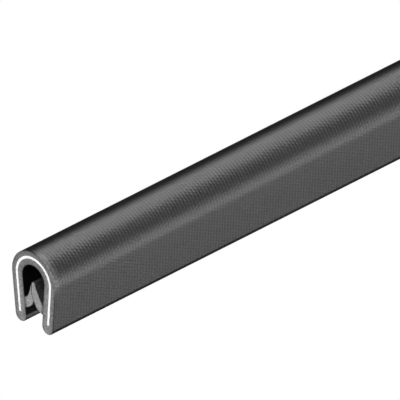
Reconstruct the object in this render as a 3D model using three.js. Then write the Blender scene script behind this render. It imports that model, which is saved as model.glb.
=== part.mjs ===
// Edge trim seal: a U-shaped strip that is pushed over the raw edge of a metal or plastic sheet.
// A soft PVC cover is extruded round a bent steel strip, which makes the two legs grip, and two
// lips inside the legs close the mouth and press on the sheet.
// Millimetres, +Z up. The strip runs along Y and stands on its two feet, with X across it.

import * as THREE from 'three';

// Whole strip
const length = 1000;
const width = 12; // across the crown, where the strip is widest
const height = 16.8; // from the feet to the top of the crown
const wall = 3; // thickness of the cover, the same all round the U
const legLean = THREE.MathUtils.degToRad(5); // of each leg towards the other

// Steel core
const coreThickness = 0.6;
const coreCover = 1.07; // PVC over the core's outer face
const coreLift = 2.1; // from the feet to the core's two edges
const coreClearance = 0.02; // between the core and the cover all round

// Seam where the two lips meet, from the mouth upwards
const lipGap = 0.07;
const seamBottom = 5.95; // height at which the lips part towards the mouth
const seamBend = 7.3; // height that its curve is drawn towards
const seamKnee = 8.1; // height above which it stands upright
const seamShift = 0.6; // of its upright stretch towards the left leg

// Lips: heights above the feet of their roots on the legs' inner faces, and of their tips
const rightLip = { rootTop: 5.85, rootBottom: 3.85, tipTop: 10.17, tipRadius: 0.49 };
const leftLip = { rootTop: 5.9, rootBottom: 3.62, tipTop: 9.2, tipRadius: 0.12 };

// How far the lips' curves run straight on from each end before they bend
const rightFlank = { rootIn: 0.53, rootUp: 0.5, tipOut: 0.12, tipDown: 0.72 };
const leftFlank = { rootIn: 1.05, rootUp: 0.15, tipOut: 0.12, tipDown: 0.8 };
const underside = { seamOut: 0.18, seamDown: 0.85, rootIn: 1.38, rootUp: 0.32 };

const arcDivisions = 16; // in each half of a round stretch, and in each bend

// Sizes that follow
const outerRadius = width / 2;
const innerRadius = outerRadius - wall;
const middleRadius = outerRadius - wall / 2;
const crownHeight = height - outerRadius; // of the centre that the crown is turned about
const footRadius = wall / 2;
const legLength = legReach(middleRadius, footRadius);
const coreOuterRadius = outerRadius - coreCover;
const coreInnerRadius = coreOuterRadius - coreThickness;
const coreLegLength = legReach((coreOuterRadius + coreInnerRadius) / 2, coreLift);

// Sides of the strip, as seen from its front end
const left = -1;
const right = 1;

const coverMaterial = new THREE.MeshStandardMaterial({ color: 0x3f4042, roughness: 0.6, metalness: 0 });
const coreMaterial = new THREE.MeshStandardMaterial({ color: 0xd9dadb, roughness: 0.3, metalness: 0.9 });

/** Length of the straight leg from the crown down to a height, measured along a line at this radius. */
function legReach(radius, endHeight) {
  return (crownHeight - radius * Math.sin(legLean) - endHeight) / Math.cos(legLean);
}

/** Point on a leg at this radius, a given reach below the crown. */
function legPoint(side, radius, reach) {
  return new THREE.Vector2(
    side * (radius * Math.cos(legLean) - reach * Math.sin(legLean)),
    crownHeight - radius * Math.sin(legLean) - reach * Math.cos(legLean),
  );
}

/** Point on a leg's inner face at a height above the feet. */
function innerFacePoint(side, faceHeight) {
  return legPoint(side, innerRadius, legReach(innerRadius, faceHeight));
}

/** Point on the seam at a height, on the face of the lip of this side. */
function seamPoint(side, shift, seamHeight) {
  return new THREE.Vector2(side * lipGap / 2 - shift, seamHeight);
}

/** Draws a straight line to a point. */
function lineTo(path, point) {
  path.lineTo(point.x, point.y);
}

/** Draws a bend to a point. It leaves its start and reaches its end along the two given offsets. */
function bendTo(path, leaving, end, arriving) {
  const start = path.currentPoint;
  path.bezierCurveTo(
    start.x + leaving.x, start.y + leaving.y,
    end.x + arriving.x, end.y + arriving.y,
    end.x, end.y,
  );
}

/** Draws the round foot at the end of a leg, from the leg's left face to its right face. */
function drawFoot(path, side) {
  const centre = legPoint(side, middleRadius, legLength);
  const start = Math.PI - side * legLean;
  path.absarc(centre.x, centre.y, footRadius, start, start + Math.PI, false);
}

/** Draws the left lip upwards and over: from its lower root to the seam, the tip and its upper root. */
function drawLeftLip(path) {
  const mouth = seamPoint(left, 0, seamBottom);
  const bend = seamPoint(left, seamShift, seamBend);
  const knee = seamPoint(left, seamShift, seamKnee);
  lineTo(path, innerFacePoint(left, leftLip.rootBottom));
  bendTo(
    path,
    new THREE.Vector2(underside.rootIn, underside.rootUp),
    mouth,
    new THREE.Vector2(-underside.seamOut, -underside.seamDown),
  );
  path.quadraticCurveTo(bend.x, bend.y, knee.x, knee.y);
  const tipHeight = leftLip.tipTop - leftLip.tipRadius;
  path.absarc(knee.x - leftLip.tipRadius, tipHeight, leftLip.tipRadius, 0, Math.PI, false);
  bendTo(
    path,
    new THREE.Vector2(-leftFlank.tipOut, -leftFlank.tipDown),
    innerFacePoint(left, leftLip.rootTop),
    new THREE.Vector2(leftFlank.rootIn, leftFlank.rootUp),
  );
}

/** Draws the right lip over and downwards: from its upper root to the tip, the seam and its lower root. */
function drawRightLip(path) {
  const mouth = seamPoint(right, 0, seamBottom);
  const bend = seamPoint(right, seamShift, seamBend);
  const knee = seamPoint(right, seamShift, seamKnee);
  const tip = new THREE.Vector2(knee.x + rightLip.tipRadius, rightLip.tipTop - rightLip.tipRadius);
  lineTo(path, innerFacePoint(right, rightLip.rootTop));
  bendTo(
    path,
    new THREE.Vector2(-rightFlank.rootIn, rightFlank.rootUp),
    new THREE.Vector2(tip.x + rightLip.tipRadius, tip.y),
    new THREE.Vector2(rightFlank.tipOut, -rightFlank.tipDown),
  );
  path.absarc(tip.x, tip.y, rightLip.tipRadius, 0, Math.PI, false);
  lineTo(path, knee);
  path.quadraticCurveTo(bend.x, bend.y, mouth.x, mouth.y);
  bendTo(
    path,
    new THREE.Vector2(underside.seamOut, -underside.seamDown),
    innerFacePoint(right, rightLip.rootBottom),
    new THREE.Vector2(-underside.rootIn, underside.rootUp),
  );
}

/** Draws a closed U between two radii, with square edges at the ends of its legs. */
function drawBentStrip(path, outer, inner, reach) {
  path.absarc(0, crownHeight, outer, -legLean, Math.PI + legLean, false);
  lineTo(path, legPoint(left, outer, reach));
  lineTo(path, legPoint(left, inner, reach));
  path.absarc(0, crownHeight, inner, Math.PI + legLean, -legLean, true);
  lineTo(path, legPoint(right, inner, reach));
  lineTo(path, legPoint(right, outer, reach));
  path.closePath();
}

/** Section of the cover, with the slot that holds the core. */
function coverSection() {
  const section = new THREE.Shape();
  section.absarc(0, crownHeight, outerRadius, -legLean, Math.PI + legLean, false);
  drawFoot(section, left);
  drawLeftLip(section);
  section.absarc(0, crownHeight, innerRadius, Math.PI + legLean, -legLean, true);
  drawRightLip(section);
  drawFoot(section, right);
  section.closePath();

  const slot = new THREE.Path();
  drawBentStrip(
    slot,
    coreOuterRadius + coreClearance,
    coreInnerRadius - coreClearance,
    coreLegLength + coreClearance,
  );
  section.holes.push(slot);
  return section;
}

/** Section of the bent steel strip. */
function coreSection() {
  const section = new THREE.Shape();
  drawBentStrip(section, coreOuterRadius, coreInnerRadius, coreLegLength);
  return section;
}

/** Mesh of a section extruded along the whole strip, with half its length on either side of the origin. */
function extrudeAlong(name, section, material) {
  const geometry = new THREE.ExtrudeGeometry(section, {
    depth: length,
    steps: 1,
    curveSegments: arcDivisions,
    bevelEnabled: false,
  });
  const mesh = new THREE.Mesh(geometry, material);
  mesh.name = name;
  mesh.rotation.x = Math.PI / 2; // the section's height turns to +Z, and its depth to -Y
  mesh.position.y = length / 2;
  return mesh;
}

const strip = new THREE.Group();
strip.add(extrudeAlong('pvc_cover', coverSection(), coverMaterial));
strip.add(extrudeAlong('steel_core', coreSection(), coreMaterial));

export default strip;
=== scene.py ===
"""Looks of an edge trim seal: a U-shaped strip of grained soft PVC over a bent steel core.

Metres, +Z up. The strip runs along Y and stands on its two feet. Its cut end at the lowest Y faces
the camera, and the rest runs out of the picture.
"""

import logging
import math
from dataclasses import dataclass
from enum import Enum
from typing import Iterable, NamedTuple, Sequence, Union

import bmesh
import bpy
import numpy as np
from mathutils import Matrix, Vector


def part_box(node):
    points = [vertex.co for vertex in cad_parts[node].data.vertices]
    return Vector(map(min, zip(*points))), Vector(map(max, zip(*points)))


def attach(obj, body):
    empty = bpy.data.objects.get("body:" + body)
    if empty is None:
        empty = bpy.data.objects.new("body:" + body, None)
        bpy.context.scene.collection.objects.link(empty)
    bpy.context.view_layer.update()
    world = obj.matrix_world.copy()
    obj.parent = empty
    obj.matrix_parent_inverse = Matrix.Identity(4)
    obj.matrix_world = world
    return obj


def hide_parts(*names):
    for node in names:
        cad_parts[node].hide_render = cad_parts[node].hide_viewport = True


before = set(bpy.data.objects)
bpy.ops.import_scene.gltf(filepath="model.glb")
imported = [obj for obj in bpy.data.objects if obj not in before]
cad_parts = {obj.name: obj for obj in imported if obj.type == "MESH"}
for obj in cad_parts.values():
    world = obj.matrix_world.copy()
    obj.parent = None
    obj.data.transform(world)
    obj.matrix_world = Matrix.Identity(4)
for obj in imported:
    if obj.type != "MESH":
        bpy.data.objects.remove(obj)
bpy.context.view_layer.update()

MM = 0.001
BODY = "root"
SAME_POINT = 0.0002 * MM  # farthest that two corners of the CAD model may lie apart as one point
SAME_PLANE = 0.01 * MM  # farthest that a corner of a cut end may lie from it

log = logging.getLogger("edge_trim")

Socket = bpy.types.NodeSocket
Sockets = dict[str, Socket]
Value = Union[float, Socket]


class Face(Enum):
    """Where a face lies on a piece, as the place of its material on that piece."""

    SKIN = 0
    LINING = 1
    CUT = 2
    LIP = 3


class End(Enum):
    """The two cut ends of the strip, as the sign of their Y."""

    FRONT = -1
    BACK = 1


@dataclass(frozen=True)
class Section:
    """Sizes of the U that the effects follow round the strip.

    The width and height come from the frame's box, and the rest are the sizes of the real section.
    """

    width: float
    height: float
    length: float
    wall: float = 3.0 * MM
    lean: float = math.radians(5.0)

    @property
    def outer_radius(self) -> float:
        """Radius of the crown."""
        return self.width / 2

    @property
    def crown_height(self) -> float:
        """Height of the centre that the crown is turned about."""
        return self.height - self.outer_radius

    @property
    def crown_turn(self) -> float:
        """Angle from the top of the crown to where a leg begins."""
        return math.pi / 2 + self.lean

    @property
    def leg_girth(self) -> float:
        """Way along the skin from the top of the crown to where a leg begins."""
        return self.outer_radius * self.crown_turn

    def depths(self, points: np.ndarray) -> np.ndarray:
        """Depth of points of the section under the skin.

        Args:
            points: Points of X and Z.

        Returns:
            The depth of each.
        """
        across = np.abs(points[:, 0])
        above = points[:, 1] - self.crown_height
        past_crown = above * math.cos(self.lean) + across * math.sin(self.lean) < 0
        off_leg = across * math.cos(self.lean) - above * math.sin(self.lean)
        return self.outer_radius - np.where(past_crown, off_leg, np.hypot(across, above))

    @classmethod
    def of_box(cls, low: Vector, high: Vector) -> "Section":
        """Section of a strip that fills a box.

        Args:
            low: Lowest corner of the box.
            high: Highest corner of the box.

        Returns:
            The section, with its length along Y.
        """
        size = high - low
        return cls(width=size.x, height=size.z, length=size.y)


class Graph:
    """Adds and joins the nodes of one material, group or world."""

    def __init__(self, tree: bpy.types.NodeTree) -> None:
        """Starts from an empty tree.

        Args:
            tree: The tree that the nodes go into. What it held is removed.
        """
        self.tree = tree
        tree.nodes.clear()

    def node(self, kind: str, **settings: object) -> bpy.types.Node:
        """Adds a node.

        Args:
            kind: Blender's name for the kind of node.
            settings: Properties to set on it.

        Returns:
            The new node.
        """
        made = self.tree.nodes.new(kind)
        for name, value in settings.items():
            setattr(made, name, value)
        return made

    def feed(self, target: Socket, value: object) -> None:
        """Gives an input its value.

        Args:
            target: The input.
            value: Another node's output, or a plain number, vector or colour.
        """
        if isinstance(value, Socket):
            self.tree.links.new(value, target)
        else:
            target.default_value = value

    def math(self, operation: str, *values: Value) -> Socket:
        """Adds one step of arithmetic.

        Args:
            operation: Blender's name for the step.
            values: Its one, two or three numbers.

        Returns:
            The result.
        """
        made = self.node("ShaderNodeMath", operation=operation)
        for target, value in zip(made.inputs, values):
            self.feed(target, value)
        return made.outputs["Value"]

    def product(self, first: Value, *others: Value) -> Socket:
        """Multiplies two or more numbers.

        Args:
            first: The first number.
            others: The rest of them.

        Returns:
            Their product.
        """
        result = first
        for other in others:
            result = self.math("MULTIPLY", result, other)
        return result

    def line(self, value: Value, slope: Value, base: Value) -> Socket:
        """Adds a straight rise: the base, and the slope times the value."""
        return self.math("MULTIPLY_ADD", value, slope, base)

    def vary(self, pattern: Value, contrast: float) -> Socket:
        """Adds a factor that is 1 where a pattern is at 0.5, and higher where the pattern is."""
        return self.line(pattern, contrast, 1.0 - contrast / 2)

    def ramp(
        self, value: Value, start: Value, stop: Value, low: Value = 0.0, high: Value = 1.0
    ) -> Socket:
        """Adds a smooth step.

        Args:
            value: The number that drives it.
            start: Where the step begins.
            stop: Where it ends.
            low: The result before the step.
            high: The result after the step.

        Returns:
            The result.
        """
        made = self.node("ShaderNodeMapRange", interpolation_type="SMOOTHSTEP")
        given = {"Value": value, "From Min": start, "From Max": stop, "To Min": low, "To Max": high}
        for name, number in given.items():
            self.feed(made.inputs[name], number)
        return made.outputs["Result"]

    def mix(self, share: Value, low: Value, high: Value) -> Socket:
        """Adds a blend of two numbers.

        Args:
            share: How much of the second there is, from 0 to 1.
            low: The first number.
            high: The second number.

        Returns:
            The blend.
        """
        made = self.node("ShaderNodeMix", data_type="FLOAT")
        for name, given in zip(("Factor", "A", "B"), (share, low, high)):
            self.feed(made.inputs[name], given)
        return made.outputs["Result"]

    def tint(self, colour: Sequence[float], tone: Value) -> Socket:
        """Adds a colour that is made lighter or darker.

        Args:
            colour: Red, green and blue.
            tone: What all three are multiplied by.

        Returns:
            The colour.
        """
        made = self.node("ShaderNodeVectorMath", operation="SCALE")
        made.inputs[0].default_value = colour
        self.feed(made.inputs["Scale"], tone)
        return made.outputs["Vector"]

    def profile(self, value: Value, knots: Sequence[tuple[float, float]]) -> Socket:
        """Adds a smooth curve through a few points.

        Args:
            value: The number that drives it.
            knots: Pairs of a number and the result there, in order.

        Returns:
            The result.
        """
        result: Value = knots[0][1]
        for (start, low), (stop, high) in zip(knots, knots[1:]):
            result = self.math("ADD", self.ramp(value, start, stop, 0.0, high - low), result)
        return result

    def noise(self, position: Value, scale: Value, detail: float = 2.0) -> Socket:
        """Adds a soft random pattern.

        Args:
            position: Where it is read.
            scale: Spots for each metre.
            detail: How many finer layers it has.

        Returns:
            Its value, mostly between 0.3 and 0.7.
        """
        made = self.node("ShaderNodeTexNoise")
        self.feed(made.inputs["Vector"], position)
        self.feed(made.inputs["Scale"], scale)
        made.inputs["Detail"].default_value = detail
        return made.outputs["Fac"]

    def group(self, tree: bpy.types.NodeTree, **inputs: Value) -> Sockets:
        """Places a group.

        Args:
            tree: The group.
            inputs: Its inputs, by their names with underscores for spaces.

        Returns:
            Its outputs by name.
        """
        made = self.node("ShaderNodeGroup", node_tree=tree)
        for name, value in inputs.items():
            self.feed(made.inputs[name.replace("_", " ")], value)
        return {output.name: output for output in made.outputs}


class Effect:
    """A shader group that more than one finish uses, built once."""

    name = "effect"
    inputs: dict[str, str] = {}
    outputs: tuple[str, ...] = ()

    def __init__(self, section: Section) -> None:
        """Builds the group.

        Args:
            section: The sizes that the effect follows.
        """
        self.section = section
        self.tree = bpy.data.node_groups.new(self.name, "ShaderNodeTree")
        for name, kind in self.inputs.items():
            self.tree.interface.new_socket(name, in_out="INPUT", socket_type=kind)
        for name in self.outputs:
            self.tree.interface.new_socket(name, in_out="OUTPUT", socket_type="NodeSocketFloat")
        graph = Graph(self.tree)
        given = {socket.name: socket for socket in graph.node("NodeGroupInput").outputs}
        results = self.draw(graph, given)
        last = graph.node("NodeGroupOutput")
        for name, result in zip(self.outputs, results):
            graph.feed(last.inputs[name], result)

    def draw(self, graph: Graph, given: Sockets) -> Iterable[Socket]:
        """Adds the effect's nodes.

        Args:
            graph: The group's nodes.
            given: The group's inputs by name.

        Returns:
            The results, in the order of the outputs.
        """
        raise NotImplementedError


class StripPlaces(Effect):
    """Turns a position into places on the strip: round its skin, into its wall and from its cut ends."""

    name = "strip_places"
    inputs = {"Position": "NodeSocketVector"}
    outputs = ("Girth", "Depth", "Along", "To End")

    def draw(self, graph: Graph, given: Sockets) -> Iterable[Socket]:
        """Adds the effect's nodes.

        Args:
            graph: The group's nodes.
            given: The group's inputs by name.

        Returns:
            Way round the skin from the top, depth under the skin, Y, and distance from the nearer end.
        """
        section = self.section
        lean_sine = math.sin(section.lean)
        lean_cosine = math.cos(section.lean)
        parts = graph.node("ShaderNodeSeparateXYZ")
        graph.feed(parts.inputs[0], given["Position"])
        across = graph.math("ABSOLUTE", parts.outputs["X"])
        above = graph.math("SUBTRACT", parts.outputs["Z"], section.crown_height)
        reach = graph.line(above, -lean_cosine, graph.product(across, -lean_sine))
        off_leg = graph.line(above, -lean_sine, graph.product(across, lean_cosine))
        radius = graph.math("SQRT", graph.line(across, across, graph.product(above, above)))
        from_middle = graph.mix(graph.math("GREATER_THAN", reach, 0.0), radius, off_leg)
        turned = graph.math("MINIMUM", graph.math("ARCTAN2", across, above), section.crown_turn)
        girth = graph.line(turned, section.outer_radius, graph.math("MAXIMUM", reach, 0.0))
        depth = graph.math("SUBTRACT", section.outer_radius, from_middle)
        along = parts.outputs["Y"]
        to_end = graph.math("SUBTRACT", section.length / 2, graph.math("ABSOLUTE", along))
        return girth, depth, along, to_end


class EmbossedGrain(Effect):
    """Fine ribs across the strip with staggered pips on them, as an embossing roller leaves them."""

    name = "embossed_grain"
    inputs = {
        "Position": "NodeSocketVector",
        "Girth": "NodeSocketFloat",
        "Along": "NodeSocketFloat",
        "Pitch": "NodeSocketFloat",
        "Wander": "NodeSocketFloat",
        "Ribs": "NodeSocketFloat",
    }
    outputs = ("Height", "Pits")
    drift_spots: float = 260.0
    pit_top: float = 0.4
    pit_floor: float = 0.1

    def draw(self, graph: Graph, given: Sockets) -> Iterable[Socket]:
        """Adds the effect's nodes.

        Args:
            graph: The group's nodes.
            given: The group's inputs by name.

        Returns:
            Height from 0 to 1, and a mask of the pits between the pips.
        """
        drift = graph.math("SUBTRACT", graph.noise(given["Position"], self.drift_spots), 0.5)
        drift = graph.product(drift, given["Wander"])
        waves = []
        for place, turn in ((given["Along"], math.pi), (given["Girth"], math.tau)):
            rows = graph.math("ADD", graph.math("DIVIDE", place, given["Pitch"]), drift)
            waves.append(graph.math("COSINE", graph.product(rows, turn)))
        along, round_skin = waves
        pips = graph.line(graph.product(along, round_skin), 0.5, 0.5)
        ribs = graph.product(along, along)
        height = graph.mix(given["Ribs"], pips, ribs)
        return height, graph.ramp(height, self.pit_top, self.pit_floor)


class Mottle(Effect):
    """Soft uneven tone, as in any coloured PVC."""

    name = "mottle"
    inputs = {"Position": "NodeSocketVector", "Spots": "NodeSocketFloat", "Contrast": "NodeSocketFloat"}
    outputs = ("Tone",)
    detail: float = 4.0

    def draw(self, graph: Graph, given: Sockets) -> Iterable[Socket]:
        """Adds the effect's nodes.

        Args:
            graph: The group's nodes.
            given: The group's inputs by name.

        Returns:
            A tone round 1.
        """
        pattern = graph.noise(given["Position"], given["Spots"], self.detail)
        spread = graph.math("SUBTRACT", pattern, 0.5)
        return (graph.line(spread, given["Contrast"], 1.0),)


class DrawnLines(Effect):
    """Fine straight lines of uneven depth, such as a die, a blade or a shear leaves."""

    name = "drawn_lines"
    inputs = {"Place": "NodeSocketFloat", "Drift": "NodeSocketFloat", "Lines": "NodeSocketFloat"}
    outputs = ("Height",)
    detail: float = 3.0

    def draw(self, graph: Graph, given: Sockets) -> Iterable[Socket]:
        """Adds the effect's nodes.

        Args:
            graph: The group's nodes.
            given: The group's inputs by name: the place across the lines, how far along them they
                change, and how many there are for each metre.

        Returns:
            Height, mostly between 0.3 and 0.7.
        """
        place = graph.node("ShaderNodeCombineXYZ")
        graph.feed(place.inputs["X"], graph.product(given["Place"], given["Lines"]))
        graph.feed(place.inputs["Y"], given["Drift"])
        return (graph.noise(place.outputs["Vector"], 1.0, self.detail),)


class EdgeWear(Effect):
    """A broken pale line along an edge that handling has rubbed."""

    name = "edge_wear"
    inputs = {"Position": "NodeSocketVector", "Distance": "NodeSocketFloat", "Width": "NodeSocketFloat"}
    outputs = ("Mask",)
    chip_spots: float = 900.0
    chip_detail: float = 3.0
    chip_range: tuple[float, float] = (0.4, 0.62)
    least_wear: float = 0.4

    def draw(self, graph: Graph, given: Sockets) -> Iterable[Socket]:
        """Adds the effect's nodes.

        Args:
            graph: The group's nodes.
            given: The group's inputs by name.

        Returns:
            A mask, 1 where the edge is worn.
        """
        near = graph.ramp(given["Distance"], given["Width"], 0.0)
        chips = graph.noise(given["Position"], self.chip_spots, self.chip_detail)
        broken = graph.ramp(chips, *self.chip_range)
        return (graph.product(near, graph.mix(broken, self.least_wear, 1.0)),)


@dataclass(frozen=True)
class Effects:
    """The shared effects, each built once."""

    places: StripPlaces
    grain: EmbossedGrain
    mottle: Mottle
    lines: DrawnLines
    wear: EdgeWear

    @classmethod
    def of_section(cls, section: Section) -> "Effects":
        """Builds every effect for a section.

        Args:
            section: The sizes that the effects follow.

        Returns:
            The effects.
        """
        return cls(
            places=StripPlaces(section),
            grain=EmbossedGrain(section),
            mottle=Mottle(section),
            lines=DrawnLines(section),
            wear=EdgeWear(section),
        )


@dataclass(frozen=True)
class Spot:
    """Where a point of the surface is on the strip, as sockets of one material."""

    position: Socket
    x: Socket
    z: Socket
    girth: Socket
    depth: Socket
    along: Socket
    to_end: Socket

    @classmethod
    def of_piece(cls, graph: Graph, effects: Effects) -> "Spot":
        """Adds the nodes that read the place.

        Args:
            graph: The material's nodes.
            effects: The shared effects.

        Returns:
            The place, in the piece's own frame.
        """
        position = graph.node("ShaderNodeTexCoord").outputs["Object"]
        parts = graph.node("ShaderNodeSeparateXYZ")
        graph.feed(parts.inputs[0], position)
        places = graph.group(effects.places.tree, Position=position)
        return cls(
            position=position,
            x=parts.outputs["X"],
            z=parts.outputs["Z"],
            girth=places["Girth"],
            depth=places["Depth"],
            along=places["Along"],
            to_end=places["To End"],
        )


class Surface(NamedTuple):
    """What changes over a finish: the tone of its colour, its roughness, and its relief in metres."""

    tone: Value
    roughness: Value
    relief: Value


@dataclass(frozen=True)
class Finish:
    """What every finish of the strip holds: its colour, its gloss and how uneven both are.

    The spots are for each metre. The spread is between the roughest and the smoothest places.
    """

    name: str
    colour: tuple[float, float, float]
    roughness: float
    metallic: float = 0.0
    ior: float = 1.54
    specular: float = 0.5
    roughness_spread: float = 0.16
    mottle_spots: float = 90.0
    mottle_contrast: float = 0.3

    def material(self, effects: Effects) -> bpy.types.Material:
        """Builds the finish.

        Args:
            effects: The shared effects.

        Returns:
            The material.
        """
        made = bpy.data.materials.new(self.name)
        made.use_nodes = True
        graph = Graph(made.node_tree)
        shader = graph.node("ShaderNodeBsdfPrincipled")
        shader.inputs["Metallic"].default_value = self.metallic
        shader.inputs["IOR"].default_value = self.ior
        shader.inputs["Specular IOR Level"].default_value = self.specular
        spot = Spot.of_piece(graph, effects)
        mottle = graph.group(
            effects.mottle.tree,
            Position=spot.position,
            Spots=self.mottle_spots,
            Contrast=self.mottle_contrast,
        )["Tone"]
        surface = self.surface(graph, effects, spot)
        tone = graph.product(mottle, surface.tone)
        graph.feed(shader.inputs["Base Color"], graph.tint(self.colour, tone))
        graph.feed(shader.inputs["Roughness"], surface.roughness)
        bump = graph.node("ShaderNodeBump")
        bump.inputs["Distance"].default_value = 1.0
        graph.feed(bump.inputs["Height"], surface.relief)
        graph.feed(shader.inputs["Normal"], bump.outputs["Normal"])
        last = graph.node("ShaderNodeOutputMaterial")
        graph.feed(last.inputs["Surface"], shader.outputs["BSDF"])
        return made

    def uneven_roughness(self, graph: Graph, pattern: Socket) -> Socket:
        """The roughness where a pattern is at 0.5, and higher where the pattern is."""
        return graph.line(pattern, self.roughness_spread, self.roughness - self.roughness_spread / 2)

    def surface(self, graph: Graph, effects: Effects, spot: Spot) -> Surface:
        """Adds what changes over the surface, apart from the soft uneven tone.

        Args:
            graph: The material's nodes.
            effects: The shared effects.
            spot: The place on the strip.

        Returns:
            The surface.
        """
        raise NotImplementedError


@dataclass(frozen=True)
class GrainedSkin(Finish):
    """Outer skin of the cover: satin PVC with an embossed grain.

    Shares are of the grain's full depth, and ribs are the part of the grain that is plain ribs.
    Tones multiply the colour, and a lift is how much a worn edge adds to the painted highlight. The
    skin has a painted highlight beside the cut and painted shade along the feet.
    """

    roughness_spread: float = 0.08
    pitch: float = 0.745 * MM
    wander: float = 0.38
    grain_depth: float = 0.07 * MM
    top_share: float = 0.26
    band_share: float = 0.338
    side_share: float = 0.82
    leg_share: float = 0.45
    band_part: float = 0.4  # of the way from the top of the crown to its side
    crown_ribs: float = 0.55
    leg_ribs: float = 0.4
    pip_tone: float = 1.15
    pit_tone: float = 0.45
    pit_roughness: float = 0.06
    speckle_spots: float = 2100.0
    speckle_detail: float = 4.0
    speckle_contrast: float = 2.4
    speckle_depth: float = 0.014 * MM
    rubbed_edge: float = 0.25 * MM
    rubbed_roughness: float = 0.15
    # Painted shade: the skin darkens towards the bottoms of the feet, less high on their inner sides.
    painted_foot_shade_height: float = 1.2 * MM
    inner_painted_foot_shade_height: float = 0.5 * MM
    painted_foot_shade_fade: float = 0.3 * MM
    painted_foot_shade_tone: float = 0.05
    painted_foot_shade_roughness: float = 0.5
    # Painted highlight: the crown's right side is lightened beside the cut ends, more at the worn edge.
    painted_highlight_strength: float = 7.5
    painted_highlight_length: float = 2.2 * MM
    painted_highlight_from: float = 0.48 * MM
    painted_highlight_to: float = 1.92 * MM
    painted_highlight_contrast: float = 0.8
    painted_highlight_edge_lift: float = 0.2

    def surface(self, graph: Graph, effects: Effects, spot: Spot) -> Surface:
        """Adds the grain, the speckle, the rubbed cut edge with its painted highlight, and the painted
        shade on the feet.

        Args:
            graph: The material's nodes.
            effects: The shared effects.
            spot: The place on the strip.

        Returns:
            The surface.
        """
        section = effects.places.section
        leg = section.leg_girth
        side = leg - 2 * section.wall
        grain = graph.group(
            effects.grain.tree,
            Position=spot.position,
            Girth=spot.girth,
            Along=spot.along,
            Pitch=self.pitch,
            Wander=self.wander,
            Ribs=graph.ramp(spot.girth, side, leg, self.crown_ribs, self.leg_ribs),
        )
        wear = graph.group(
            effects.wear.tree, Position=spot.position, Distance=spot.to_end, Width=self.rubbed_edge
        )["Mask"]
        speckle = graph.noise(spot.position, self.speckle_spots, self.speckle_detail)
        # Painted shade along the feet.
        painted_foot_shade = self.painted_foot_shade(graph, section, spot)
        # Painted highlight beside the cut, lifted further where the edge is worn.
        painted_highlight = graph.product(
            self.painted_highlight(graph, section, spot),
            graph.vary(speckle, self.painted_highlight_contrast),
            graph.line(wear, self.painted_highlight_edge_lift, 1.0),
        )
        tone = graph.product(
            graph.mix(grain["Pits"], self.pip_tone, self.pit_tone),
            graph.vary(speckle, self.speckle_contrast),
            graph.mix(painted_foot_shade, 1.0, self.painted_foot_shade_tone),
            graph.line(painted_highlight, self.painted_highlight_strength, 1.0),
        )
        roughness = self.uneven_roughness(graph, speckle)
        roughness = graph.line(grain["Pits"], self.pit_roughness, roughness)
        roughness = graph.line(wear, self.rubbed_roughness, roughness)
        roughness = graph.line(painted_foot_shade, self.painted_foot_shade_roughness, roughness)
        shares = (
            (0.0, self.top_share),
            (self.band_part * side, self.band_share),
            (side, self.side_share),
            (leg, self.leg_share),
        )
        depth = graph.product(graph.profile(spot.girth, shares), self.grain_depth)
        relief = graph.line(speckle, self.speckle_depth, graph.product(grain["Height"], depth))
        return Surface(tone, roughness, relief)

    def painted_foot_shade(self, graph: Graph, section: Section, spot: Spot) -> Socket:
        """Adds painted shade along the feet, which reaches less high on their inner sides.

        Args:
            graph: The material's nodes.
            section: The strip's section.
            spot: The place on the strip.

        Returns:
            A mask, 1 where the skin is painted darkest as shade.
        """
        middle = section.wall / 2
        soiled = graph.ramp(
            spot.depth, middle, 1.5 * middle, self.painted_foot_shade_height, self.inner_painted_foot_shade_height
        )
        clean = graph.math("ADD", soiled, self.painted_foot_shade_fade)
        return graph.ramp(spot.z, soiled, clean, 1.0, 0.0)

    def painted_highlight(self, graph: Graph, section: Section, spot: Spot) -> Socket:
        """Adds the painted highlight beside the cut, on the crown's right side.

        Args:
            graph: The material's nodes.
            section: The strip's section.
            spot: The place on the strip.

        Returns:
            A mask, 1 where the painted highlight is brightest.
        """
        crown = section.crown_height
        return graph.product(
            graph.ramp(spot.to_end, self.painted_highlight_length, 0.0),
            graph.ramp(spot.x, self.painted_highlight_from, self.painted_highlight_to),
            graph.ramp(spot.z, crown - section.wall, crown + section.wall),
        )


@dataclass(frozen=True)
class SmoothLining(Finish):
    """Inside of the cover: plain extruded PVC with fine die lines, with painted light low on the feet.

    The painted depth shade is how much darker it is painted inside than at the cut ends.
    """

    mottle_spots: float = 120.0
    mottle_contrast: float = 0.25
    die_lines: float = 5200.0
    line_drift: float = 8.0
    line_depth: float = 0.01 * MM
    speckle_spots: float = 2000.0
    speckle_detail: float = 3.0
    speckle_contrast: float = 2.0
    # Painted light: the lining is lightened low on the feet's inner sides, as a lit strip.
    painted_light_from: float = 1.7 * MM
    painted_light_to: float = 2.05 * MM
    painted_light_tone: float = 9.0
    # Painted shade: the colour darkens away from the cut ends.
    painted_depth_shade: float = 0.0
    painted_depth_shade_length: float = 3.0 * MM

    def surface(self, graph: Graph, effects: Effects, spot: Spot) -> Surface:
        """Adds the die lines, the speckle, the painted light low on the feet and the painted shade away
        from the cut ends.

        Args:
            graph: The material's nodes.
            effects: The shared effects.
            spot: The place on the strip.

        Returns:
            The surface.
        """
        lines = graph.group(
            effects.lines.tree,
            Place=graph.math("ADD", spot.x, spot.z),
            Drift=graph.product(spot.along, self.line_drift),
            Lines=self.die_lines,
        )["Height"]
        speckle = graph.noise(spot.position, self.speckle_spots, self.speckle_detail)
        # The ramps paint light low on the feet and shade away from the cut ends.
        tone = graph.product(
            graph.vary(speckle, self.speckle_contrast),
            graph.ramp(spot.z, self.painted_light_from, self.painted_light_to, self.painted_light_tone, 1.0),
            graph.ramp(spot.to_end, 0.0, self.painted_depth_shade_length, 1.0, 1.0 - self.painted_depth_shade),
        )
        return Surface(tone, self.uneven_roughness(graph, lines), graph.product(lines, self.line_depth))


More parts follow.
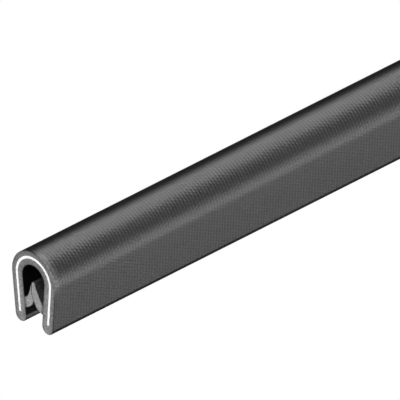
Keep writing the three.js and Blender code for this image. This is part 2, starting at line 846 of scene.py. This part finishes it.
@dataclass(frozen=True)
class CutFace(Finish):
    """Square-cut end of the cover: dull PVC with the blade's marks, and painted light and shade that is
    palest on the lips.

    The painted wall shading is pairs of a depth, as a share of the wall, and the painted tone there.
    """

    mottle_spots: float = 700.0
    mottle_contrast: float = 0.35
    mark_lines: float = 4200.0
    mark_slant: float = 0.42
    mark_drift: float = 260.0
    mark_depth: float = 0.018 * MM
    mark_contrast: float = 0.4
    crumb_spots: float = 1900.0
    crumb_detail: float = 3.0
    crumb_range: tuple[float, float] = (0.36, 0.64)
    crumb_tones: tuple[float, float] = (0.7, 1.3)
    # Painted shade: the cut face is darker above the crown's centre and lighter below it.
    painted_crown_shade: tuple[float, float] = (1.08, 0.84)
    rim_width: float = 0.16 * MM
    rim_lift: float = 0.15
    # Painted shade: the lips' cut face darkens towards their lower parts.
    shaded_lip_height: float = 3.6 * MM
    pale_lip_height: float = 5.0 * MM
    shaded_lip_tone: float = 0.5
    # Painted light and shade across the cut face: darker at the skin and the inner wall, lighter between
    # them and on the lips.
    painted_wall_shading: tuple[tuple[float, float], ...] = (
        (0.0, 0.4), (0.12, 0.9), (0.3, 1.05), (0.6, 1.4), (0.8, 1.12), (1.0, 0.5), (1.25, 1.75),
    )

    def surface(self, graph: Graph, effects: Effects, spot: Spot) -> Surface:
        """Adds the blade's marks and crumbs, painted light and shade over the face, and the rubbed rim.

        Args:
            graph: The material's nodes.
            effects: The shared effects.
            spot: The place on the strip.

        Returns:
            The surface.
        """
        section = effects.places.section
        wall = section.wall
        crown = section.crown_height
        marks = graph.group(
            effects.lines.tree,
            Place=graph.line(spot.x, self.mark_slant, spot.z),
            Drift=graph.product(spot.x, self.mark_drift),
            Lines=self.mark_lines,
        )["Height"]
        wear = graph.group(
            effects.wear.tree, Position=spot.position, Distance=spot.depth, Width=self.rim_width
        )["Mask"]
        crumbs = graph.noise(spot.position, self.crumb_spots, self.crumb_detail)
        # Painted shade on the lips' lower parts.
        painted_lip_shade = graph.product(
            graph.ramp(spot.z, self.pale_lip_height, self.shaded_lip_height),
            graph.math("GREATER_THAN", spot.depth, wall),
        )
        tone = graph.product(
            graph.profile(spot.depth, [(share * wall, tone) for share, tone in self.painted_wall_shading]),
            graph.ramp(crumbs, *self.crumb_range, *self.crumb_tones),
            graph.ramp(spot.z, crown - wall, crown + wall, *self.painted_crown_shade),
            graph.mix(painted_lip_shade, 1.0, self.shaded_lip_tone),
            graph.line(wear, self.rim_lift, 1.0),
            graph.vary(marks, self.mark_contrast),
        )
        return Surface(tone, self.uneven_roughness(graph, marks), graph.product(marks, self.mark_depth))


@dataclass(frozen=True)
class ShearedSteel(Finish):
    """Bright edge of bare steel strip, sheared square with the cover."""

    roughness_spread: float = 0.2
    mottle_spots: float = 900.0
    mottle_contrast: float = 0.12
    mark_lines: float = 6000.0
    mark_drift: float = 900.0
    mark_depth: float = 0.012 * MM

    def surface(self, graph: Graph, effects: Effects, spot: Spot) -> Surface:
        """Adds the shear's marks across the strip.

        Args:
            graph: The material's nodes.
            effects: The shared effects.
            spot: The place on the strip.

        Returns:
            The surface.
        """
        marks = graph.group(
            effects.lines.tree,
            Place=spot.girth,
            Drift=graph.product(spot.depth, self.mark_drift),
            Lines=self.mark_lines,
        )["Height"]
        return Surface(1.0, self.uneven_roughness(graph, marks), graph.product(marks, self.mark_depth))


@dataclass
class Outline:
    """One closed outline of the strip's section, as points of X and Z in order."""

    points: np.ndarray
    sharp_turn: float = math.radians(20.0)

    @property
    def area(self) -> float:
        """Measures the area inside.

        Returns:
            The area, negative where the points run clockwise as seen from the front end.
        """
        following = np.roll(self.points, -1, axis=0)
        across, up = self.points.T
        next_across, next_up = following.T
        return float(np.sum(across * next_up - next_across * up) / 2)

    def facing_out(self) -> "Outline":
        """The same outline with its points anticlockwise, as seen from the front end."""
        return self if self.area > 0 else Outline(self.points[::-1].copy(), self.sharp_turn)

    def turns(self) -> np.ndarray:
        """Measures how the outline turns.

        Returns:
            The angle that it turns by at each point.
        """
        before = self.points - np.roll(self.points, 1, axis=0)
        after = np.roll(self.points, -1, axis=0) - self.points
        cross = before[:, 0] * after[:, 1] - before[:, 1] * after[:, 0]
        return np.arctan2(cross, np.sum(before * after, axis=1))

    def rounded(self, most_uneven: float = 2.0) -> "Outline":
        """Adds a point to each side of a round stretch, on the cubic curve through its neighbours.

        Args:
            most_uneven: How much longer a side may be than the one beside it in a round stretch.

        Returns:
            The finer outline. Its corners and straight sides are as they were.
        """
        points = self.points
        count = len(points)
        sides = np.linalg.norm(np.roll(points, -1, axis=0) - points, axis=1)
        smooth = np.abs(self.turns()) < self.sharp_turn
        finer = []
        for i in range(count):
            j = (i + 1) % count
            finer.append(points[i])
            nearby = (sides[i - 1], sides[i], sides[j])
            if smooth[i] and smooth[j] and max(nearby) < most_uneven * min(nearby):
                outer = points[i - 1] + points[(j + 1) % count]
                finer.append((9 * (points[i] + points[j]) - outer) / 16)
        return Outline(np.array(finer), self.sharp_turn)

    def inset(self, distance: float) -> np.ndarray:
        """The points moved into the material.

        Args:
            distance: How far, square to the sides.

        Returns:
            The moved points.
        """
        before = self.points - np.roll(self.points, 1, axis=0)
        after = np.roll(self.points, -1, axis=0) - self.points
        normals = []
        for side in (before, after):
            side = side / np.linalg.norm(side, axis=1, keepdims=True)
            normals.append(np.stack([-side[:, 1], side[:, 0]], axis=1))
        middle = normals[0] + normals[1]
        middle /= np.linalg.norm(middle, axis=1, keepdims=True)
        share = np.clip(np.sum(middle * normals[0], axis=1, keepdims=True), 0.5, 1.0)
        return self.points + middle * distance / share


def end_outlines(node: str) -> list[Outline]:
    """Reads the outlines of a CAD node's front end.

    Args:
        node: The node's name.

    Returns:
        Its outlines, the largest first. Each runs anticlockwise as seen from the front end.
    """
    mesh = bmesh.new()
    mesh.from_mesh(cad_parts[node].data)
    bmesh.ops.remove_doubles(mesh, verts=mesh.verts, dist=SAME_POINT)
    front = min(vertex.co.y for vertex in mesh.verts)
    caps = {face for face in mesh.faces if all(v.co.y < front + SAME_PLANE for v in face.verts)}
    following: dict[bmesh.types.BMVert, list[bmesh.types.BMVert]] = {}
    for face in caps:
        for loop in face.loops:
            if not any(other in caps for other in loop.edge.link_faces if other is not face):
                following.setdefault(loop.vert, []).append(loop.link_loop_next.vert)
    outlines = []
    while following:
        vertex = start = next(iter(following))
        points = []
        while vertex in following:
            points.append((vertex.co.x, vertex.co.z))
            vertex = following.pop(vertex)[0]
        assert vertex is start, "an outline of the front end doesn't close"
        outlines.append(Outline(np.array(points)).facing_out())
    mesh.free()
    return sorted(outlines, key=lambda outline: -outline.area)


@dataclass
class Bar:
    """A straight bar of one section along Y, with rounded edges at its two cut ends."""

    name: str
    outline: Outline
    hole: Union[Outline, None]
    half_length: float
    edge_radius: float
    edge_steps: int = 4
    plain_radii: float = 3.0  # from each end to the first ring of the plain middle
    stretch: float = 20.0 * MM
    sharp_angle: float = math.radians(38.0)

    def stations(self) -> list[tuple[float, float]]:
        """Works out where the bar has rings of points.

        Returns:
            Places along Y from front to back, each with how far its ring lies inside the skin.
        """
        edge = []
        for step in range(self.edge_steps + 1):
            angle = math.pi / 2 * step / self.edge_steps
            from_end = self.edge_radius * (1 - math.sin(angle))
            edge.append((from_end, self.edge_radius * (1 - math.cos(angle))))
        front = [(from_end - self.half_length, inset) for from_end, inset in reversed(edge)]
        straight = self.half_length - self.plain_radii * self.edge_radius
        count = max(1, round(2 * straight / self.stretch))
        middle = [(straight * (2 * i / count - 1), 0.0) for i in range(count + 1)]
        return front + middle + [(-y, inset) for y, inset in reversed(front)]

    def build(self, kind_of_side: Sequence[Face]) -> bpy.types.Object:
        """Builds the bar.

        Args:
            kind_of_side: What each side of the outline is, in the outline's order.

        Returns:
            The new object, with a material place for each kind of face.
        """
        mesh = bmesh.new()
        rings = [self.ring(mesh, self.outline.inset(inset), y) for y, inset in self.stations()]
        for ring, following in zip(rings, rings[1:]):
            for i, kind in enumerate(kind_of_side):
                j = (i + 1) % len(ring)
                face = mesh.faces.new((ring[i], ring[j], following[j], following[i]))
                face.material_index = kind.value
        hole_rings = []
        if self.hole:
            for end in End:
                hole_rings.append(self.ring(mesh, self.hole.points, end.value * self.half_length))
            front, back = hole_rings
            for i in range(len(front)):
                j = (i + 1) % len(front)
                face = mesh.faces.new((front[j], front[i], back[i], back[j]))
                face.material_index = Face.LINING.value
        for place, end in ((0, End.FRONT), (-1, End.BACK)):
            edges = self.edges_of(mesh, rings[place])
            if hole_rings:
                edges += self.edges_of(mesh, hole_rings[place])
            made = bmesh.ops.triangle_fill(mesh, edges=edges, use_beauty=True, normal=(0, end.value, 0))
            for face in made["geom"]:
                if isinstance(face, bmesh.types.BMFace):
                    face.material_index = Face.CUT.value
        bmesh.ops.recalc_face_normals(mesh, faces=mesh.faces)
        data = bpy.data.meshes.new(self.name)
        mesh.to_mesh(data)
        mesh.free()
        data.shade_smooth()
        data.set_sharp_from_angle(angle=self.sharp_angle)
        piece = bpy.data.objects.new(self.name, data)
        bpy.context.scene.collection.objects.link(piece)
        return piece

    @staticmethod
    def ring(mesh: bmesh.types.BMesh, points: np.ndarray, y: float) -> list[bmesh.types.BMVert]:
        """Adds the points of an outline at a place along Y."""
        return [mesh.verts.new((x, y, z)) for x, z in points]

    @staticmethod
    def edges_of(mesh: bmesh.types.BMesh, ring: Sequence[bmesh.types.BMVert]) -> list[bmesh.types.BMEdge]:
        """The edges that join a ring's points."""
        return [mesh.edges.get((ring[i - 1], ring[i])) for i in range(len(ring))]


@dataclass
class TrimCover:
    """The soft PVC cover: grained skin, smooth lining, two paler lips, and square-cut ends."""

    section: Section
    effects: Effects
    node: str = "pvc_cover"
    name: str = "trim_cover"
    edge_radius: float = 0.11 * MM
    foot_margin: float = 0.3 * MM  # above a foot's round, up to where its skin may end
    lip_margin: float = 0.04 * MM  # past the wall, from where a side belongs to a lip
    skin: GrainedSkin = GrainedSkin("grained_pvc_skin", (0.017, 0.0171, 0.0175), 0.34)
    # The lining's colour, darker than the skin's, is painted shade inside the U.
    lining: SmoothLining = SmoothLining(
        "smooth_pvc_lining", (0.011, 0.0111, 0.0113), 0.6, specular=0.06
    )
    # The lips' colour is painted darker away from the cut ends, as shade.
    lips: SmoothLining = SmoothLining(
        "soft_lip_pvc", (0.12, 0.12, 0.121), 0.6, specular=0.2, painted_depth_shade=0.7
    )
    cut: CutFace = CutFace("cut_pvc_face", (0.115, 0.115, 0.116), 0.72)

    def build(self) -> bpy.types.Object:
        """Builds the cover in the place of its CAD node and dresses it.

        Returns:
            The piece.
        """
        outline, slot = end_outlines(self.node)
        outline = outline.rounded()
        bar = Bar(self.name, outline, slot.rounded(), self.section.length / 2, self.edge_radius)
        piece = bar.build(self.kinds_of_sides(outline))
        for finish in (self.skin, self.lining, self.cut, self.lips):
            piece.data.materials.append(finish.material(self.effects))
        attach(piece, BODY)
        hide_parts(self.node)
        return piece

    def kinds_of_sides(self, outline: Outline) -> list[Face]:
        """Sorts the outline's sides into skin, lining and lips. Skin ends where each foot's round does.

        Args:
            outline: The cover's outline, anticlockwise.

        Returns:
            The kind of each side, in the outline's order.
        """
        points = outline.points
        inner_edge = self.section.width / 2 - self.section.wall
        on_foot = points[:, 1] < self.section.wall / 2 + self.foot_margin
        inside = on_foot & (np.abs(points[:, 0]) < inner_edge)
        right_edge, left_edge = (
            int(np.argmax(np.where(inside & (side * points[:, 0] > 0), points[:, 1], -1.0)))
            for side in (1, -1)
        )
        count = len(points)
        skin_sides = (left_edge - right_edge) % count
        middles = (points + np.roll(points, -1, axis=0)) / 2
        on_lip = self.section.depths(middles) > self.section.wall + self.lip_margin
        kinds = []
        for i in range(count):
            if (i - right_edge) % count < skin_sides:
                kinds.append(Face.SKIN)
            else:
                kinds.append(Face.LIP if on_lip[i] else Face.LINING)
        return kinds


@dataclass
class SteelCore:
    """The bent steel strip inside the cover, of which only the two sheared ends show."""

    section: Section
    effects: Effects
    node: str = "steel_core"
    name: str = "trim_core"
    edge_radius: float = 0.04 * MM
    steel: ShearedSteel = ShearedSteel("sheared_steel", (0.62, 0.62, 0.63), 0.6, metallic=1.0)

    def build(self) -> bpy.types.Object:
        """Builds the core in the place of its CAD node and dresses it.

        Returns:
            The piece.
        """
        outline = end_outlines(self.node)[0].rounded()
        bar = Bar(self.name, outline, None, self.section.length / 2, self.edge_radius)
        piece = bar.build([Face.SKIN] * len(outline.points))
        steel = self.steel.material(self.effects)
        for _ in Face:
            piece.data.materials.append(steel)
        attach(piece, BODY)
        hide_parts(self.node)
        return piece


@dataclass(frozen=True)
class Sun:
    """A soft far light, placed by how it swings round the strip.

    The swing is its angle from straight up towards the right flank, and the lead is its angle from
    square across the strip towards the back end. The spread is how wide the light looks.
    """

    name: str
    swing: float
    lead: float
    strength: float
    spread: float

    def build(self) -> None:
        """Adds the light to the scene."""
        swing = math.radians(self.swing)
        lead = math.radians(self.lead)
        towards = Vector(
            (math.cos(lead) * math.sin(swing), math.sin(lead), math.cos(lead) * math.cos(swing))
        )
        lamp = bpy.data.lights.new(self.name, "SUN")
        lamp.energy = self.strength
        lamp.angle = math.radians(self.spread)
        made = bpy.data.objects.new(self.name, lamp)
        made.rotation_euler = towards.to_track_quat("Z", "Y").to_euler()
        made.location = towards
        bpy.context.scene.collection.objects.link(made)


@dataclass(frozen=True)
class LightArch:
    """A long soft light bent over the strip, as a row of far lights at even steps of swing."""

    name: str
    lead: float
    first_swing: float
    step: float
    strengths: tuple[float, ...]
    spread: float = 14.0

    def build(self) -> None:
        """Adds the row's lights to the scene."""
        for i, strength in enumerate(self.strengths):
            swing = self.first_swing + i * self.step
            Sun(f"{self.name}_{i + 1}", swing, self.lead, strength, self.spread).build()


@dataclass
class Studio:
    """A plain white floor, soft far lights and the camera.

    The camera looks without perspective. It is aimed by the pixel at which the middle of the front
    end's crown lies in a square picture. The smooth skin mirrors the key and flank arches to the
    camera, and the back arch stands farther back and picks out the grain.
    """

    section: Section
    azimuth: float = 47.11
    elevation: float = 31.12
    roll: float = -1.11
    picture_size: float = 400.0
    pixels_per_mm: float = 5.209
    crown_pixel: tuple[float, float] = (33.31, 279.54)
    camera_distance: float = 1.2
    view_depth: float = 20.0
    floor_size: float = 12.0
    surroundings_strength: float = 0.006
    arches: tuple[LightArch, ...] = (
        LightArch(
            "key_arch", lead=35.6, first_swing=-45.0, step=15.0,
            strengths=(0.1, 0.3, 0.28, 0.37, 0.34),
        ),
        LightArch(
            "flank_arch", lead=35.6, first_swing=45.0, step=15.0,
            strengths=(0.12, 0.08, 0.11, 0.27, 0.26, 0.23, 0.07, 0.09),
        ),
        LightArch(
            "back_arch", lead=51.0, first_swing=0.0, step=30.0,
            strengths=(0.19, 0.2, 0.02, 0.02, 0.2),
        ),
    )
    suns: tuple[Sun, ...] = (
        Sun("end_light", swing=-130.0, lead=-35.6, strength=1.2, spread=40.0),
        Sun("front_light", swing=0.0, lead=-100.0, strength=2.5, spread=20.0),
        Sun("mouth_light", swing=20.0, lead=-40.0, strength=0.9, spread=20.0),
        Sun("side_light", swing=103.0, lead=0.0, strength=0.3, spread=30.0),
    )

    def build(self) -> None:
        """Adds the floor, the surroundings, the lights and the camera."""
        self.build_floor()
        self.build_surroundings()
        for light in self.arches + self.suns:
            light.build()
        self.build_camera()
        bpy.context.scene.view_settings.view_transform = "Standard"

    def build_camera(self) -> None:
        """Adds the camera and makes it the scene's."""
        azimuth = math.radians(self.azimuth)
        elevation = math.radians(self.elevation)
        back = Vector((
            math.sin(azimuth) * math.cos(elevation),
            -math.cos(azimuth) * math.cos(elevation),
            math.sin(elevation),
        ))
        roll = Matrix.Rotation(math.radians(self.roll), 3, "Z")
        turned = back.to_track_quat("Z", "Y").to_matrix() @ roll
        metres_per_pixel = MM / self.pixels_per_mm
        middle = self.picture_size / 2
        right = (middle - self.crown_pixel[0]) * metres_per_pixel
        up = (self.crown_pixel[1] - middle) * metres_per_pixel
        crown = Vector((0.0, -self.section.length / 2, self.section.crown_height))
        camera = bpy.data.cameras.new("camera")
        camera.type = "ORTHO"
        camera.ortho_scale = self.picture_size * metres_per_pixel
        camera.clip_end = self.view_depth
        made = bpy.data.objects.new("camera", camera)
        made.rotation_euler = turned.to_euler()
        made.location = crown + turned @ Vector((right, up, self.camera_distance))
        bpy.context.scene.collection.objects.link(made)
        bpy.context.scene.camera = made

    def build_floor(self) -> None:
        """Adds the floor, which looks evenly white to the camera and takes no part in the light."""
        half = self.floor_size / 2
        data = bpy.data.meshes.new("floor")
        corners = [(-half, -half, 0), (half, -half, 0), (half, half, 0), (-half, half, 0)]
        data.from_pydata(corners, [], [tuple(range(len(corners)))])
        paper = bpy.data.materials.new("white_paper")
        paper.use_nodes = True
        graph = Graph(paper.node_tree)
        glow = graph.node("ShaderNodeEmission")
        last = graph.node("ShaderNodeOutputMaterial")
        graph.feed(last.inputs["Surface"], glow.outputs["Emission"])
        data.materials.append(paper)
        floor = bpy.data.objects.new("floor", data)
        floor.visible_diffuse = False
        floor.visible_glossy = False
        floor.visible_shadow = False
        bpy.context.scene.collection.objects.link(floor)

    def build_surroundings(self) -> None:
        """Makes what lies past the floor white to the camera and nearly dark to the strip."""
        world = bpy.data.worlds.new("surroundings")
        world.use_nodes = True
        graph = Graph(world.node_tree)
        dim = graph.node("ShaderNodeBackground")
        dim.inputs["Strength"].default_value = self.surroundings_strength
        white = graph.node("ShaderNodeBackground")
        white.inputs["Color"].default_value = (1.0, 1.0, 1.0, 1.0)
        choice = graph.node("ShaderNodeMixShader")
        graph.feed(choice.inputs[0], graph.node("ShaderNodeLightPath").outputs["Is Camera Ray"])
        graph.feed(choice.inputs[1], dim.outputs["Background"])
        graph.feed(choice.inputs[2], white.outputs["Background"])
        last = graph.node("ShaderNodeOutputWorld")
        graph.feed(last.inputs["Surface"], choice.outputs["Shader"])
        bpy.context.scene.world = world


def main() -> None:
    """Builds the studio and the strip."""
    logging.basicConfig(level=logging.INFO, format="%(message)s")
    section = Section.of_box(*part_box("pvc_cover"))
    effects = Effects.of_section(section)
    Studio(section).build()
    for maker in (TrimCover(section, effects), SteelCore(section, effects)):
        piece = maker.build()
        log.info("%s: %d faces, in the place of %s", piece.name, len(piece.data.polygons), maker.node)


if __name__ == "__main__":
    main()
